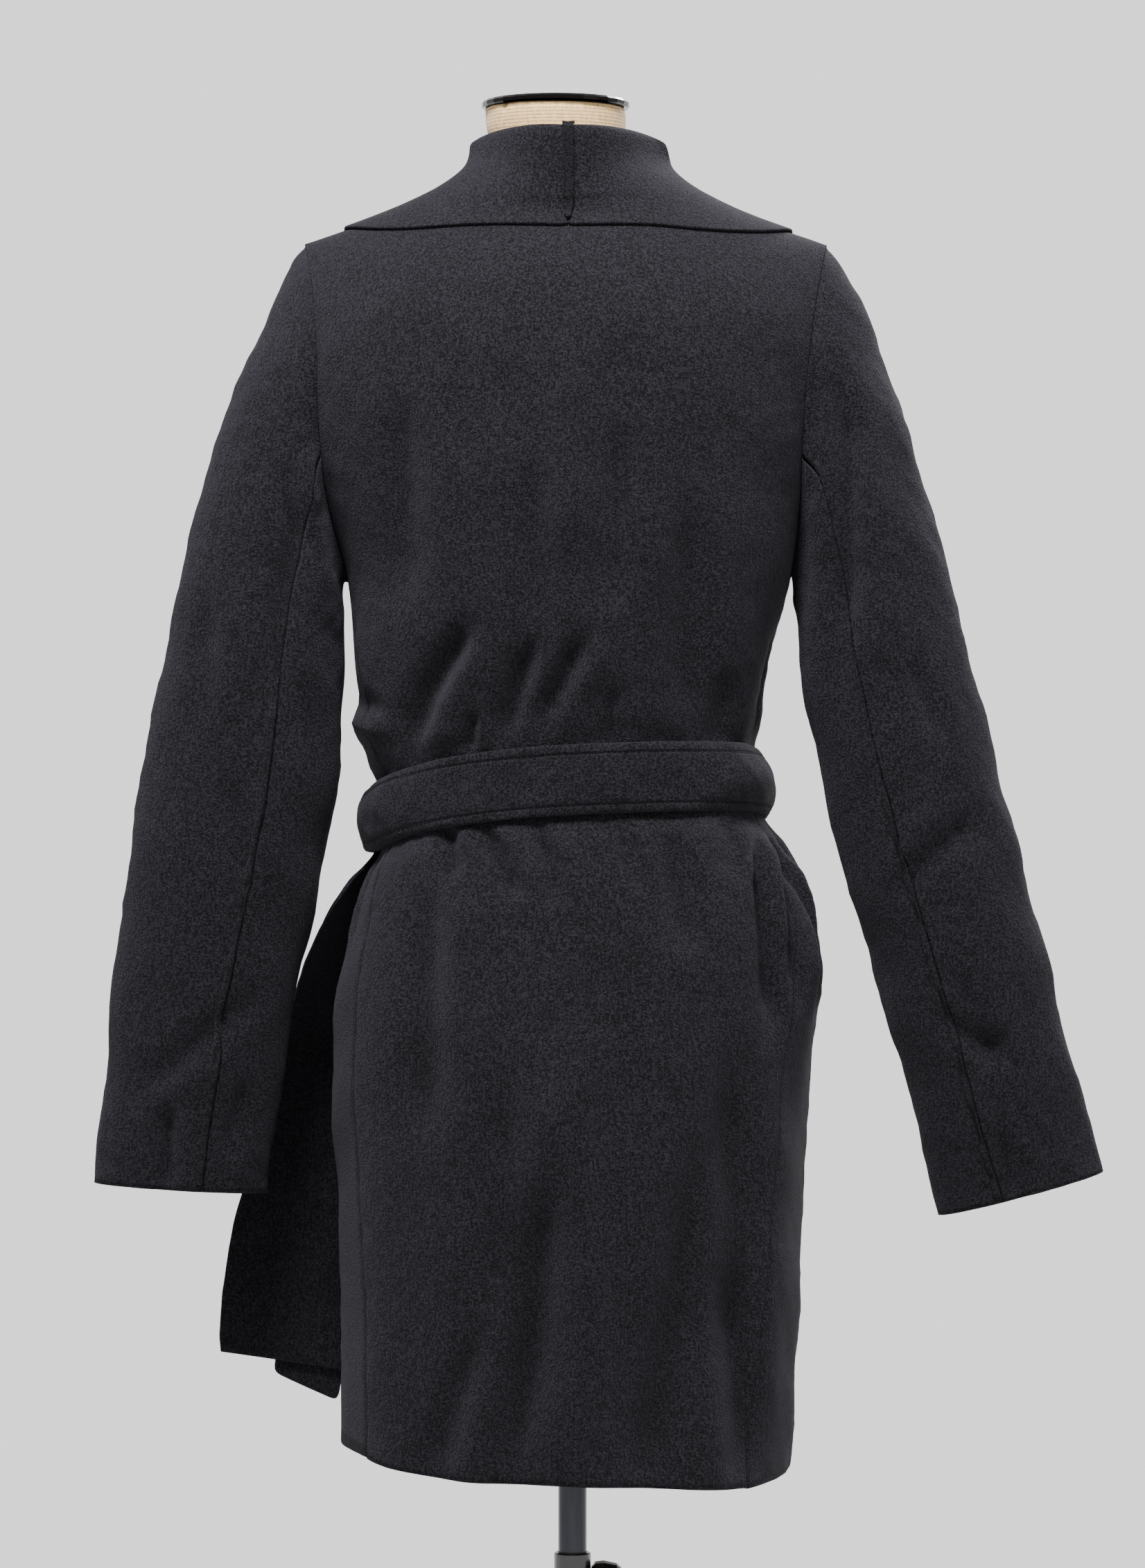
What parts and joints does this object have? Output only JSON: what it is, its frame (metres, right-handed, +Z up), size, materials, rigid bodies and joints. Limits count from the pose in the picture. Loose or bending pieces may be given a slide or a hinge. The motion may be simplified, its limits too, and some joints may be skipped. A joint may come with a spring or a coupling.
{
  "type": "long wrap coat on a dress form with stand",
  "caption": "Belted wrap coat of black boiled wool with a wide shawl collar, worn by a limbless linen dress form on a telescopic stand with a round foot.",
  "frame": {"origin": "on the floor, under the axis of the stand's pole, at the middle of the foot's underside", "axes": "+Z up along the pole, -Y towards the back of the coat, +X towards the wearer's right"},
  "size_m": [0.718, 0.3258, 1.5752],
  "materials": {
    "boiled_wool": "felted black wool with a short fuzzy nap and raw cut edges",
    "linen_cover": "plain woven beige linen, stretched smooth",
    "dark_chrome": "dark polished metal",
    "gunmetal_tube": "dark satin tube",
    "black_lacquer": "black lacquer",
    "gloss_black": "gloss black moulding"
  },
  "bodies": {
    "stand": {"base_plate": "black_lacquer", "pole_outer": "black_lacquer", "pole_clamp": "gloss_black"},
    "pole": {"pole_inner": "gunmetal_tube"},
    "knob": {"clamp_knob": "gloss_black"},
    "dressed_form": {"form_torso": "linen_cover", "neck_cap": "dark_chrome", "back": "boiled_wool", "front_left": "boiled_wool", "front_right": "boiled_wool", "collar_left": "boiled_wool", "collar_right": "boiled_wool", "collar_seam": "boiled_wool", "sleeve_left_upper": "boiled_wool", "sleeve_left_under": "boiled_wool", "sleeve_right_upper": "boiled_wool", "sleeve_right_under": "boiled_wool", "belt_waist": "boiled_wool", "belt_knot": "boiled_wool", "belt_end_long": "boiled_wool", "belt_end_short": "boiled_wool"}
  },
  "joints": [
    {"name": "pole_slide", "type": "slide", "parent": "stand", "child": "pole", "axis": [0, 0, 1], "range_m": [-0.2, 0.15]},
    {"name": "form_swivel", "type": "hinge", "parent": "pole", "child": "dressed_form", "pos_m": [0, 0, 0.825], "axis": [0, 0, 1], "continuous": true},
    {"name": "knob_turn", "type": "hinge", "parent": "stand", "child": "knob", "pos_m": [0.013, 0, 0.526], "axis": [1, 0, 0], "range_deg": [0, 540]}
  ]
}
